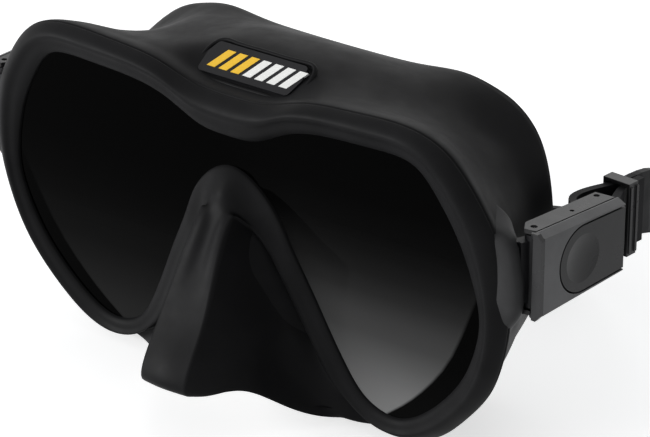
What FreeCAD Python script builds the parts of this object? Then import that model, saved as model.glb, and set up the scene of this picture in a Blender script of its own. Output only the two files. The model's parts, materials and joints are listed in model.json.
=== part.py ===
import FreeCAD, Part
import math
import os
from FreeCAD import Vector

# A single-lens diving mask: a moulded silicone skirt bonded round one flat glass, with a quick-release
# buckle hinged on a lug at each side and a rubber strap threaded through both buckles.
# Modelling frame, mm: +X to the side, +Y from the glass back to the face, +Z up.  The glass's front face
# passes through the modelling origin and its top leans forward.  Last of all, everything is moved so that
# the part's own origin is the bottom centre of its bounding box.

# ---- driving dimensions ----
MASK_WIDTH = 168.0          # over the silicone rim
MASK_HEIGHT = 92.0          # rim top to rim bottom, along the glass
SKIRT_DEPTH = 47.0          # from the glass back to the rear edge of the skirt
LENS_LEAN = 6.43            # degrees that the glass's top leans forward
LENS_THICKNESS = 4.0
LENS_SEAT = 2.4             # how far the glass runs under the silicone
LIP = 0.8                   # silicone lip in front of the glass
SKIRT_WALL = 2.4
LUG_HALF_HEIGHT = 9.5
LUG_REACH = 4.2             # how far the lug stands out of the rim

BADGE_LENGTH = 31.0
BADGE_HEIGHT = 9.6
BADGE_THICKNESS = 1.5
BADGE_SLOPE = 36.0          # degrees from level
STRIPE_DEPTH = 0.5

BUCKLE_LENGTH = 33.6
BUCKLE_THICKNESS = 8.4
BUCKLE_HALF_HEIGHT = 11.5   # at the front; it tapers to the rear
BUCKLE_TAPER = 1.4          # lost by the half height over the length
BUCKLE_YAW = 4.3            # degrees that the buckle's rear stands outward
BUCKLE_WALL = 1.2
COVER_DEPTH = 2.6
COVER_BEVEL_DEPTH = 2.3
COVER_BEVEL_RISE = 1.1
COVER_GAP = 0.4            # between cover and shell

BUTTON_RADIUS = 8.75
BUTTON_GAP = 0.42
BUTTON_TRAVEL = 0.8
BUTTON_THICKNESS = 1.5
DISH_RADIUS = 6.4
DISH_DEPTH = 0.6

PIN_RADIUS = 0.9            # hinge pin
AXLE_RADIUS = 0.8           # strap roller's axle
PAWL_PIN_RADIUS = 0.6
RUNNING_FIT = 0.05          # radial
ROLLER_RADIUS = 1.7
KNUCKLE_RADIUS = 2.2

STRAP_WIDTH = 17.2
STRAP_THICKNESS = 2.0
CLEAR = 0.3                 # between pieces that move past each other

# ---- places, from the driving dimensions ----
LUG_TIP_X = MASK_WIDTH / 2 + LUG_REACH
HINGE = Vector(LUG_TIP_X - 1.2, 8.6, -5.3)          # hinge axis of the right-hand buckle
HINGE_S, HINGE_N = 4.2, -5.2                        # the same axis in the buckle's own plan
ROLLER_S, ROLLER_N = BUCKLE_LENGTH - 3.0, -6.8
PAWL_S, PAWL_N = 18.6, -5.0
PAWL_FRONT_ARM = 8.0
PAWL_REAR_ARM = 9.0
STRAP_END_RADIUS = 46.0     # where the strap's end on the buckle stops, from the hinge axis

# Rings of the skirt, right half, from the top centre round to the bottom centre.  Each is written for a
# rim 168 wide, 92 high and a skirt 47 deep, and is scaled to the driving dimensions.
# Opening, crest and parting line are (x, z) along the glass.
OPENING = [(0, 10.1), (9.6, 11.1), (20, 16), (32, 18.7), (44, 19.4), (54, 19.6), (60.5, 17.5), (66.2, 10.5),
           (71.3, 1), (74.8, -9.8), (76.1, -20), (74, -30), (69.5, -39.8), (62.5, -48.8), (54.5, -55.8),
           (47, -58.6), (39.3, -56.3), (33.4, -49.3), (27.8, -38.4), (22.7, -27.5), (17.3, -16.5),
           (11.7, -6), (0, 1.3)]
CREST = [(0, 17), (11, 18.3), (20.5, 22), (33, 24.1), (46, 24.7), (56.5, 24.7), (64.8, 21.3), (71.8, 13.6),
         (76.9, 3.1), (79.3, -9.5), (79.3, -20.5), (77.3, -31.5), (73, -41.7), (66, -51), (57, -58.8),
         (48.3, -62.2), (39, -60.5), (30, -52.5), (24.4, -43), (19.3, -32.2), (14.2, -22), (9.5, -13.5)]
PARTING = [(0, 20.6), (12, 21.6), (24, 25.2), (37, 26.8), (50, 27.6), (60, 26.8), (68.5, 22.8), (76.3, 13.3),
           (81.7, 2.5), (84, -9.5), (83.7, -21), (81, -32.5), (76.6, -42.8), (69.2, -52.5), (60, -61),
           (50, -64), (39.5, -61.5)]
# The rest are (x, y, z).  Their last six or seven points run over the nose pocket.
CREST_NOSE = [(0, -5.2, -4)]
PARTING_NOSE = [(29, 4.8, -53.8), (19.8, 6, -42.8), (13.4, 4.6, -30.4), (8, 1.6, -17.3), (5.2, -6.4, -9),
                (0, -6.9, -8.9)]
RIDGE = [(0, 4.6, 21.5), (12, 4.6, 22.0), (24, 4.5, 25), (36.5, 4.5, 25.8), (49, 4.5, 26.2),
         (58.5, 4.5, 25.4), (66.6, 5, 21.4), (74, 5.5, 12.4), (79.4, 6, 2), (81.7, 7, -9.5), (81.5, 8, -20.5),
         (78.9, 8.5, -32), (74.7, 9.5, -42), (67.5, 10, -51.3), (59, 10, -59), (49.5, 10, -62),
         (39, 8.5, -63.8), (29.5, 2.5, -60), (18.5, -1, -50), (13.8, -7, -43.5), (10.2, -12.5, -37.5),
         (7, -20.5, -33), (0, -20.9, -33)]
VALLEY = [(0, 12.8, 27.3), (12, 12.7, 27), (24, 13, 25.6), (36, 13.5, 24), (47.5, 14, 22.4), (56.5, 14.5, 20.2),
          (63.5, 15, 16), (69.8, 15.5, 9), (74.6, 16.5, 0), (77, 17.5, -10), (77, 18.5, -20),
          (75, 19.5, -31), (70.5, 20.5, -41.2), (64, 21, -50.5), (56, 20.5, -58), (48, 19, -61.3),
          (37.5, 16, -64.6), (29.5, 2, -62.2), (21.6, -7, -57.6), (15.5, -15, -52.2), (10.7, -22, -51.8),
          (7.3, -28.6, -50.3), (0, -29.8, -49.8)]
BODY = [(0, 29, 27), (13, 29, 26.6), (26, 29.5, 24.8), (38, 30, 22.8), (48, 30.5, 18.3), (55.5, 31, 13.9),
        (62, 31.5, 9.8), (66.8, 32, 3), (70, 32.5, -5), (71.4, 33, -13), (70.9, 33.5, -21.5),
        (68.5, 33.5, -32), (64.8, 33, -42), (59, 32, -51.5), (52, 31, -58.5), (44.5, 29, -62.3),
        (36, 26, -63.6), (29, 9, -61.4), (22, 3, -57.2), (15, -2, -52.5), (10, -7, -52), (5.5, -10.5, -52.3),
        (0, -11, -52.5)]
REAR = [(0, 44.5, 21), (13, 44.7, 21), (26, 45.2, 21.3), (38, 46, 22.0), (47.6, 46.3, 20.4),
        (55.4, 45.8, 15.6), (62, 45, 10.6), (66.6, 43.8, 4), (69.1, 43, -4), (69.5, 43, -12.5),
        (68.3, 43.5, -21.5), (65, 44, -32.5), (60, 44, -43), (53.5, 43, -52), (46, 40.5, -59),
        (39, 36.5, -62.6), (32.5, 31, -62), (27, 22, -58), (22, 16, -53.5), (16.5, 12, -49.8),
        (11.5, 10, -48), (6, 9, -47.2), (0, 8.5, -47)]
SEAL = [(0, 46, 9), (11, 46, 9), (22, 46.5, 9), (33, 47, 8.6), (42, 47.3, 7.4), (49.5, 47.2, 4.6),
        (54.5, 47, 0.4), (57.3, 46.5, -4.5), (58.8, 46, -10), (59, 46, -16), (57.5, 46.5, -23.5),
        (54.5, 46.5, -32.5), (50, 46, -41), (44.5, 44, -48.2), (38.5, 41.5, -52.7), (33, 38, -54.7),
        (27.5, 33, -53.5), (23.5, 25, -50), (19.5, 20, -45.5), (15, 17, -42.5), (10.5, 15.5, -41),
        (6, 14.8, -40.4), (0, 14.4, -40)]
RING_WIDTH, RING_HEIGHT, RING_DEPTH = 168.0, 92.0, 47.0
CREST_Y, PARTING_Y = -2.6, 1.5


# ---- helpers ----
def scaled(point):
    x, y, z = point
    return Vector(x * MASK_WIDTH / RING_WIDTH, y * SKIRT_DEPTH / RING_DEPTH, z * MASK_HEIGHT / RING_HEIGHT)


def lean(point):
    """Turns a point or shape from the upright glass frame to the leaning one."""
    angle = math.radians(LENS_LEAN)
    x, y, z = point
    return Vector(x, y * math.cos(angle) - z * math.sin(angle), y * math.sin(angle) + z * math.cos(angle))


def along_glass(outline, y):
    """Places an (x, z) outline at the depth y, measured square to the glass."""
    sx, sz = MASK_WIDTH / RING_WIDTH, MASK_HEIGHT / RING_HEIGHT
    return [lean((x * sx, y, z * sz)) for x, z in outline]


def whole(half):
    """Mirrors a half ring to a closed ring."""
    return half + [Vector(-p.x, p.y, p.z) for p in half[-2:0:-1]]


def box(x0, x1, y0, y1, z0, z1):
    return Part.makeBox(x1 - x0, y1 - y0, z1 - z0, Vector(x0, y0, z0))


def post(x, y, radius, z0, z1):
    """An upright cylinder."""
    return Part.makeCylinder(radius, z1 - z0, Vector(x, y, z0))


def prism(points, z0, z1):
    """An upright prism on an (x, y) outline."""
    corners = [Vector(x, y, z0) for x, y in points]
    return Part.Face(Part.makePolygon(corners + corners[:1])).extrude(Vector(0, 0, z1 - z0))


def loft(sections):
    """A solid through straight-sided sections, each a list of points."""
    wires = [Part.makePolygon(points + points[:1]) for points in sections]
    return Part.makeLoft(wires, True, True)


# ---- skirt and glass ----
def knots(lengths):
    """Parameters spaced by the square root of the mean spacing, from 0 to 1."""
    total = sum(math.sqrt(length) for length in lengths)
    values = [0.0]
    for length in lengths:
        values.append(values[-1] + math.sqrt(length) / total)
    values[-1] = 1.0
    return values


def mean_gap(rows, i, j, di, dj):
    a, b = rows[i % len(rows)], rows[(i + di) % len(rows)]
    return (b[(j + dj) % len(b)] - a[j % len(a)]).Length


def skin(rings):
    """A smooth face through closed rings, from the first ring to the last."""
    across, around = len(rings), len(rings[0])
    u = knots([sum(mean_gap(rings, i, j, 0, 1) for i in range(across)) / across for j in range(around)])
    v = knots([sum(mean_gap(rings, i, j, 1, 0) for j in range(around)) / around for i in range(across - 1)])

    def fitted(points, parameters, periodic):
        curve = Part.BSplineCurve()
        curve.interpolate(Points=points, PeriodicFlag=periodic, Parameters=parameters)
        return curve

    rows = [fitted(ring, u, True) for ring in rings]
    poles = [row.getPoles() for row in rows]
    columns = [fitted([row[j] for row in poles], v, False) for j in range(len(poles[0]))]
    surface = Part.BSplineSurface()
    surface.buildFromPolesMultsKnots([column.getPoles() for column in columns],
                                     rows[0].getMultiplicities(), columns[0].getMultiplicities(),
                                     rows[0].getKnots(), columns[0].getKnots(), True, False, 3, 3)
    return surface.toShape()


def inward(rings, index):
    """The ring at index, moved by the wall's thickness along the skirt's normal."""
    ring, before, after = rings[index], rings[index - 1], rings[index + 1]
    moved = []
    for j, point in enumerate(ring):
        normal = (ring[(j + 1) % len(ring)] - ring[j - 1]).cross(after[j] - before[j])
        moved.append(point - normal.normalize() * SKIRT_WALL)
    return moved


def skirt_rings():
    edge, lip = along_glass(OPENING, 0), along_glass(grown(OPENING, 0.35), -LIP)
    crest = along_glass(CREST, CREST_Y) + [scaled(p) for p in CREST_NOSE]
    parting = along_glass(PARTING, PARTING_Y) + [scaled(p) for p in PARTING_NOSE]
    free = [[scaled(p) for p in ring] for ring in (RIDGE, VALLEY, BODY, REAR, SEAL)]
    outer = [whole(ring) for ring in [edge, lip, crest, parting] + free]
    inner = [inward(outer, index) for index in (7, 6, 5, 4)]
    seat = along_glass(grown(OPENING, LENS_SEAT + 0.6), LENS_THICKNESS + 1.6)
    back = along_glass(grown(OPENING, 0.35), LENS_THICKNESS + LIP)
    return outer + inner + [whole(ring) for ring in (seat, back, along_glass(OPENING, LENS_THICKNESS))]


def grown(outline, margin):
    """A half (x, z) outline moved outward; its end points stay on the centre plane."""
    moved = []
    for j, (x, z) in enumerate(outline):
        x0, z0 = outline[j - 1] if j else (-outline[1][0], outline[1][1])
        x1, z1 = outline[j + 1] if j + 1 < len(outline) else (-outline[j - 1][0], outline[j - 1][1])
        size = math.hypot(x1 - x0, z1 - z0)
        moved.append((x - (z1 - z0) / size * margin, z + (x1 - x0) / size * margin))
    return moved


def glass_outline(margin):
    """The opening's outline on the glass's front face, grown by a margin."""
    sx, sz = MASK_WIDTH / RING_WIDTH, MASK_HEIGHT / RING_HEIGHT
    curve = Part.BSplineCurve()
    curve.interpolate(Points=whole([Vector(x * sx, 0, z * sz) for x, z in grown(OPENING, margin)]),
                      PeriodicFlag=True)
    return Part.Wire([curve.toShape()])


def tilted(shape):
    return shape.rotate(Vector(0, 0, 0), Vector(1, 0, 0), LENS_LEAN)


def make_lens():
    return tilted(Part.Face(glass_outline(LENS_SEAT)).extrude(Vector(0, LENS_THICKNESS, 0)))


def make_skirt():
    """The moulded skin, closed by the groove that the glass sits in."""
    side = skin(skirt_rings())
    rims = sorted((edge for edge in side.Edges if edge.isClosed()), key=lambda edge: edge.BoundBox.YMin)
    seat = glass_outline(LENS_SEAT)
    seats = [tilted(seat.copy()), tilted(seat.translated(Vector(0, LENS_THICKNESS, 0)))]
    wall = tilted(seat.extrude(Vector(0, LENS_THICKNESS, 0)))
    ledges = [Part.makeFace([outline, Part.Wire([rim])], "Part::FaceMakerBullseye")
              for outline, rim in zip(seats, rims)]
    shell = Part.makeShell([side] + wall.Faces + [face for ledge in ledges for face in ledge.Faces])
    shell.sewShape()
    solid = Part.makeSolid(shell)
    if solid.Volume < 0:
        solid.reverse()
    return solid


def lug_block():
    """The silicone lug that stands out of the rim and holds the buckle's anchor."""
    x0 = MASK_WIDTH / 2
    plan = [(x0 - 5, 2.8), (x0 - 1, 1.6), (LUG_TIP_X - 1.4, 2.4), (LUG_TIP_X - 0.2, 3.0), (LUG_TIP_X - 0.2, 4.0),
            (LUG_TIP_X - 1.2, 5.2), (x0 - 2, 7.0), (x0 - 5, 10)]
    z0, z1 = HINGE.z - LUG_HALF_HEIGHT, HINGE.z + LUG_HALF_HEIGHT
    face = box(x0 - 10, LUG_TIP_X, 0, 20, z0, z1)
    outer = [e for e in face.Edges if all(v.X > LUG_TIP_X - 0.1 for v in e.Vertexes)
             and abs(e.Vertexes[0].Y - e.Vertexes[-1].Y) > 1]
    return prism(plan, z0, z1).common(face.makeFillet(2.5, outer))


def mirrored(shape):
    return shape.mirror(Vector(0, 0, 0), Vector(1, 0, 0))


# ---- buckle, in its own plan: x = n outward, y = s rearward, z up from its mid height ----
def half_height(s):
    return BUCKLE_HALF_HEIGHT - BUCKLE_TAPER * s / BUCKLE_LENGTH


def channel(s0, s1, n_out, n_in, shrink, bevel=(0, 0)):
    """A solid bar between two depths, as high as the buckle less shrink.  bevel is the (depth, rise) of the
    bevels along its outer corners."""
    depth, rise = bevel
    sections = []
    for s in (s0, s1):
        h = half_height(s) - shrink
        points = [Vector(n_in, s, -h), Vector(n_out - depth, s, -h), Vector(n_out, s, -h + rise),
                  Vector(n_out, s, h - rise), Vector(n_out - depth, s, h), Vector(n_in, s, h)]
        sections.append(points if depth else [points[0], points[2], points[3], points[5]])
    return loft(sections)


def d_plate(radius, n_in, n_out, s_end):
    """A D-shaped plate: a round front end, and sides that close in slightly to the open rear."""
    centre_s = s_end - BUCKLE_LENGTH + 17.2
    rear_half = radius - 0.5
    arc = Part.Arc(Vector(n_in, centre_s, radius), Vector(n_in, centre_s - radius, 0),
                   Vector(n_in, centre_s, -radius)).toShape()
    corners = [Vector(n_in, centre_s, -radius), Vector(n_in, s_end, -rear_half),
               Vector(n_in, s_end, rear_half), Vector(n_in, centre_s, radius)]
    sides = [Part.makeLine(a, b) for a, b in zip(corners, corners[1:])]
    return Part.Face(Part.Wire([arc] + sides)).extrude(Vector(n_out - n_in, 0, 0))


COVER_START = 1.9


def make_cover():
    cover = channel(COVER_START, BUCKLE_LENGTH, 0, -COVER_DEPTH, 0, (COVER_BEVEL_DEPTH, COVER_BEVEL_RISE))
    hollow = channel(COVER_START + BUCKLE_WALL, BUCKLE_LENGTH + 1, -BUCKLE_WALL, -COVER_DEPTH - 1,
                     BUCKLE_WALL + COVER_BEVEL_RISE / 2)
    cover = cover.cut(hollow)
    slot = d_plate(BUTTON_RADIUS + BUTTON_GAP, -COVER_DEPTH - 1, 1, BUCKLE_LENGTH + 1)
    slot.translate(Vector(0, -1, 0))
    return cover.cut(slot.fuse(slot.translated(Vector(0, 1, 0))))


def make_shell():
    top = -COVER_DEPTH - COVER_GAP
    inner = -BUCKLE_THICKNESS
    shell = channel(0, BUCKLE_LENGTH, top, inner, 0)
    hollow = channel(-1, BUCKLE_LENGTH + 1, top + 1, inner + BUCKLE_WALL, BUCKLE_WALL)
    shell = shell.cut(hollow)
    # the front end is rounded about the hinge pin and slants back to the inner face
    h = BUCKLE_HALF_HEIGHT + 1
    nose = KNUCKLE_RADIUS + 0.6
    slant = [(top + 1, -1), (top + 1, HINGE_S - nose * 0.55), (HINGE_N + nose * 0.7, HINGE_S - nose * 0.72),
             (HINGE_N - nose * 0.3, HINGE_S - nose * 0.95), (HINGE_N - nose, HINGE_S),
             (inner - 1, HINGE_S + nose), (inner - 1, -1)]
    shell = shell.cut(prism(slant, -h, h))
    swing = KNUCKLE_HALF + CLEAR
    shell = shell.cut(prism([(inner - 1, -3), (top - 0.9, -3), (top - 0.9, HINGE_S + KNUCKLE_RADIUS + 0.3),
                             (inner - 1, HINGE_S + KNUCKLE_RADIUS + 1.2)], -swing, swing))
    # the strap leaves through a window in the inner face
    window_z = STRAP_WIDTH / 2 + CLEAR
    shell = shell.cut(box(inner - 1, inner + BUCKLE_WALL + 0.01, ROLLER_S - 6, BUCKLE_LENGTH + 1,
                          -window_z, window_z))
    # a rounded guard runs up the front, ahead of the cover
    front, rear = COVER_START - 1.5, COVER_START - CLEAR / 2
    guard = channel(front, rear, 0.3, -COVER_DEPTH + 0.2, -0.1, (1.4, 1.6))
    for side in (-1, 1):
        z_in, z_out = KNUCKLE_HALF + CLEAR, BUCKLE_HALF_HEIGHT - 0.3
        z0, z1 = sorted((side * z_in, side * z_out))
        bridge = prism([(-COVER_DEPTH + 0.3, front + 0.1), (-COVER_DEPTH + 0.3, rear), (top, rear),
                        (top, HINGE_S), (HINGE_N, HINGE_S), (HINGE_N + 1.4, 1.9), (-COVER_DEPTH - 0.8, front + 0.6)],
                       z0, z1)
        guard = guard.fuse(bridge)
    shell = shell.fuse(guard).removeSplitter()
    # its rear end slants forward to the inner face
    shell = shell.cut(prism([(top, BUCKLE_LENGTH - 0.6), (inner - 1, BUCKLE_LENGTH - 1.6),
                             (inner - 1, BUCKLE_LENGTH + 2), (top, BUCKLE_LENGTH + 2)], -h, h))
    for s, n, radius in ((HINGE_S, HINGE_N, PIN_RADIUS), (ROLLER_S, ROLLER_N, AXLE_RADIUS),
                         (PAWL_S, PAWL_N, PAWL_PIN_RADIUS)):
        shell = shell.cut(post(n, s, radius, -h, h))
    return shell


KNUCKLE_HALF = BUCKLE_HALF_HEIGHT - BUCKLE_WALL - CLEAR - 0.3


def make_pins():
    def pin(s, n, radius):
        reach = half_height(s) - 0.6
        return post(n, s, radius, -reach, reach)
    return pin(HINGE_S, HINGE_N, PIN_RADIUS), pin(ROLLER_S, ROLLER_N, AXLE_RADIUS), \
        pin(PAWL_S, PAWL_N, PAWL_PIN_RADIUS)


def make_roller():
    reach = half_height(ROLLER_S) - BUCKLE_WALL - CLEAR - 0.15
    return post(ROLLER_N, ROLLER_S, ROLLER_RADIUS, -reach, reach).cut(
        post(ROLLER_N, ROLLER_S, AXLE_RADIUS + RUNNING_FIT, -reach - 1, reach + 1))


SPRING_S, SPRING_Z, SPRING_RADIUS, SPRING_WIRE = 13.8, 5.6, 1.2, 0.27


def make_button():
    plate = d_plate(BUTTON_RADIUS, -BUTTON_THICKNESS, 0, BUCKLE_LENGTH)
    thin = box(-BUTTON_THICKNESS - 1, -BUTTON_THICKNESS * 0.6, PAWL_S - 2.5, BUCKLE_LENGTH + 1, -7.4, 7.4)
    ball = (DISH_RADIUS ** 2 + DISH_DEPTH ** 2) / (2 * DISH_DEPTH)
    dish = Part.makeSphere(ball, Vector(ball - DISH_DEPTH, 17.2, 0))
    plate = plate.cut(thin).cut(dish)
    # tongue that keeps the button under the cover, a rib on the pawl, and two spring cups
    plate = plate.fuse(box(-BUCKLE_WALL - 1.0, -BUCKLE_WALL - CLEAR / 2, 6.5, 11, -4, 4))
    plate = plate.fuse(box(-BUCKLE_WALL - CLEAR / 2 - 0.01, -BUTTON_THICKNESS + 0.5, 9.3, 11, -3.1, 3.1))
    plate = plate.fuse(box(PAWL_N + 0.9, -BUTTON_THICKNESS + 0.1, 10.2, 11.4, -3, 3))
    for z in (-SPRING_Z, SPRING_Z):
        cup = Part.makeCylinder(SPRING_RADIUS + 0.9, 2.4, Vector(-BUTTON_THICKNESS - 2.3, SPRING_S, z),
                                Vector(1, 0, 0))
        hole = Part.makeCylinder(SPRING_RADIUS + 0.4, 2.4, Vector(-BUTTON_THICKNESS - 2.4, SPRING_S, z),
                                 Vector(1, 0, 0))
        plate = plate.fuse(cup).cut(hole)
    return plate.removeSplitter()


def make_springs():
    """Two return springs, as they stand with the button pressed home."""
    floor = -BUCKLE_THICKNESS + BUCKLE_WALL
    length = -BUTTON_THICKNESS - BUTTON_TRAVEL - 0.3 - floor
    turns = 3
    springs = []
    for z in (-SPRING_Z, SPRING_Z):
        coil = Part.makeHelix((length - 2 * SPRING_WIRE - 0.1) / turns, length - 2 * SPRING_WIRE - 0.1,
                              SPRING_RADIUS)
        section = Part.Wire([Part.makeCircle(SPRING_WIRE, Vector(SPRING_RADIUS, 0, 0), Vector(0, 1, 0))])
        wire = Part.Wire(coil.Edges).makePipeShell([section], True, True)
        wire.rotate(Vector(0, 0, 0), Vector(0, 1, 0), 90)
        wire.translate(Vector(floor + SPRING_WIRE + 0.05, SPRING_S, z))
        springs.append(wire)
    return Part.makeCompound(springs)


def make_pawl():
    """A rocker on its pin: the button pushes the front arm in, and the toothed rear arm lifts."""
    boss = PAWL_PIN_RADIUS + 0.9
    reach = 7.0
    front, rear = PAWL_S - PAWL_FRONT_ARM, PAWL_S + PAWL_REAR_ARM
    arm = [(PAWL_N + 0.7, front), (PAWL_N + 0.7, PAWL_S - 1), (PAWL_N + 1.9, PAWL_S + 4),
           (PAWL_N + 2.0, rear - 0.8), (PAWL_N + 1.3, rear), (PAWL_N + 1.1, rear - 1.0),
           (PAWL_N + 0.8, PAWL_S + 4), (PAWL_N - 0.7, PAWL_S - 1), (PAWL_N - 0.4, front)]
    pawl = prism(arm, -reach, reach).fuse(post(PAWL_N, PAWL_S, boss, -reach, reach))
    for z in (-SPRING_Z, SPRING_Z):
        gap = SPRING_RADIUS + 0.9 + CLEAR
        pawl = pawl.cut(box(PAWL_N - 3, PAWL_N + 3, PAWL_S - PAWL_FRONT_ARM - 1, SPRING_S + gap + 0.6,
                            min(z - gap, z * 2), max(z + gap, z * 2)))
    return pawl.cut(post(PAWL_N, PAWL_S, PAWL_PIN_RADIUS + RUNNING_FIT, -reach - 1, reach + 1))


def make_anchor():
    """Plastic insert: a plate held in the silicone lug, a web, and the knuckle on the hinge pin."""
    x, y = HINGE_N, HINGE_S
    knuckle = post(x, y, KNUCKLE_RADIUS, -KNUCKLE_HALF, KNUCKLE_HALF)
    web = prism([(x - 1.9, y + 0.5), (x + 0.9, y - 1), (x - 0.4, y - 4.2), (x - 3.6, y - 3.4)],
                -KNUCKLE_HALF + 1.5, KNUCKLE_HALF - 1.5)
    plate = prism([(x - 1.2, y - 4.4), (x - 2.4, y - 3.0), (x - 6.4, y - 2.6), (x - 6.4, y - 4.0)],
                  -KNUCKLE_HALF + 1.5, KNUCKLE_HALF - 1.5)
    anchor = knuckle.fuse(web).fuse(plate)
    return anchor.cut(post(x, y, PIN_RADIUS + RUNNING_FIT, -20, 20)).removeSplitter()


# ---- strap ----
def offset_band(points, half):
    """Both edges of a band whose middle line is given, in plan."""
    left, right = [], []
    for i, point in enumerate(points):
        a, b = points[max(i - 1, 0)], points[min(i + 1, len(points) - 1)]
        dx, dy = b[0] - a[0], b[1] - a[1]
        size = math.hypot(dx, dy)
        left.append((point[0] - dy / size * half, point[1] + dx / size * half))
        right.append((point[0] + dy / size * half, point[1] - dx / size * half))
    return left, right


def strap_route():
    """Middle line of the strap in the buckle's plan, as (n, s): tail, round the roller, then the run back."""
    ring = ROLLER_RADIUS + CLEAR + STRAP_THICKNESS / 2
    round_roller = []
    for degrees in (85, 110, 135, 160):
        angle = math.radians(degrees)
        round_roller.append((ROLLER_N + ring * math.sin(angle), ROLLER_S + ring * math.cos(angle)))
    tail = [(TAIL_N, 52), (TAIL_N, 47), (TAIL_N + 0.2, 43.5), (TAIL_N + 1.6, 39), (-4.3, 34)]
    run = [(-8.2, 27.0), (-10.3, 26.7), (-12.0, 27.7), (-13.2, 30), (-13.3, 33.5), (-12.2, 38),
           (RUN_N - 0.3, 43), (RUN_N, 47), (RUN_N, 53)]
    return tail + round_roller + run


TAIL_N, RUN_N = -7.9, -10.3
# The strap leaves the right buckle level and the left one sinking, as it rests on a table.
DROOP_START, DROOP_BEND = 37.0, 4.0
RIGHT_SLOPE, LEFT_SLOPE = 0.0, 0.5


def droop(s, slope):
    """How far the strap has sunk at a place s along the buckle: it bends, then slopes evenly."""
    past = min(max(s - DROOP_START, 0), DROOP_BEND)
    return slope * (past * past / (2 * DROOP_BEND) + max(s - DROOP_START - DROOP_BEND, 0))


def ribbon(route):
    """A band with upright edges through (x, y, z) points of its middle line."""
    half = STRAP_WIDTH / 2
    left, right = offset_band([(x, y) for x, y, z in route], STRAP_THICKNESS / 2)
    return loft([[Vector(*a, z - half), Vector(*b, z - half), Vector(*b, z + half), Vector(*a, z + half)]
                 for (x, y, z), a, b in zip(route, left, right)])


def eased(points, steps):
    """Points read along a smooth curve through the given ones."""
    curve = Part.BSplineCurve()
    curve.interpolate(Points=[Vector(*point) for point in points])
    return [(p.x, p.y, p.z) for p in curve.toShape().discretize(Number=steps)]


def make_strap_end(slope):
    end = ribbon([(n, s, -droop(s, slope)) for n, s, _ in eased([(n, s, 0) for n, s in strap_route()], 60)])
    return end.common(post(HINGE_N, HINGE_S, STRAP_END_RADIUS, -40, 40))


def sloped_box(n0, n1, s0, s1, half, slope):
    """A box that sinks with the strap from s0 to s1."""
    return loft([[Vector(n, s, z - droop(s, slope)) for n, z in
                  ((n0, -half), (n1, -half), (n1, half), (n0, half))] for s in (s0, s1)])


def make_keeper(slope):
    """A ribbed loop that holds the tail against the strap."""
    s0, s1 = 41.6, 45.2
    half, wall = STRAP_WIDTH / 2 + 0.45, 0.9
    n0, n1 = RUN_N - STRAP_THICKNESS / 2 - 1.1, TAIL_N + STRAP_THICKNESS / 2 + 1.0
    keeper = sloped_box(n0 - wall, n1 + wall, s0, s1, half + wall, slope)
    keeper = keeper.cut(sloped_box(n0, n1, s0 - 0.5, s1 + 0.5, half, slope))
    for s in (s0 + 0.2, s1 - 1.1):
        keeper = keeper.fuse(sloped_box(n1 + wall - 0.1, n1 + wall + 0.5, s, s + 0.9, half, slope))
    return keeper


# ---- assembly ----
def to_mask(shape, side):
    """Turns a piece from the buckle's plan to its place on the mask; side is 1 for right, -1 for left."""
    placed = shape.copy()
    placed.translate(Vector(-HINGE_N, -HINGE_S, 0))
    placed.rotate(Vector(0, 0, 0), Vector(0, 0, 1), -BUCKLE_YAW)
    placed.translate(HINGE)
    return placed if side > 0 else mirrored(placed)


# Middle line of the right half of the loop behind the buckles, from near the keeper to the back of the head.
# It sinks from buckle height until its back rests on the table.
LOOP_PLAN = [(85.0, 48.5), (85.3, 54), (85.2, 60), (83, 70), (72, 88), (60, 99), (46, 108), (25, 116)]
RIGHT_HEIGHTS = [-5.3, -5.3, -6.0, -9.8, -20, -28, -38, -53]
LEFT_HEIGHTS = [-7.1, -9.8, -12.8, -17.5, -28, -36, -44, -53]
LOOP_HINGE, LOOP_BACK = Vector(87.0, 8.6, -5.3), Vector(0, 118.0, -55.6)


def loop_points(back):
    """The loop from right to left, as drawn from LOOP_HINGE to LOOP_BACK, fitted to the hinge and the table."""
    right = [(x, y, z) for (x, y), z in zip(LOOP_PLAN, RIGHT_HEIGHTS)]
    left = [(-x, y, z) for (x, y), z in zip(LOOP_PLAN, LEFT_HEIGHTS)]
    wide, fall = HINGE.x / LOOP_HINGE.x, (back - HINGE.z) / (LOOP_BACK.z - LOOP_HINGE.z)
    return [(x * wide, y + HINGE.y - LOOP_HINGE.y, HINGE.z + (z - LOOP_HINGE.z) * fall)
            for x, y, z in right + [tuple(LOOP_BACK)] + left[::-1]]


def head_strap(bottom):
    """The free loop behind the buckles, down to the table at its back."""
    strap = ribbon(eased(loop_points(bottom + STRAP_WIDTH / 2), 61))
    for side in (-1, 1):
        strap = strap.cut(post(side * HINGE.x, HINGE.y, STRAP_END_RADIUS + CLEAR, -200, 200))
    return strap


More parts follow.
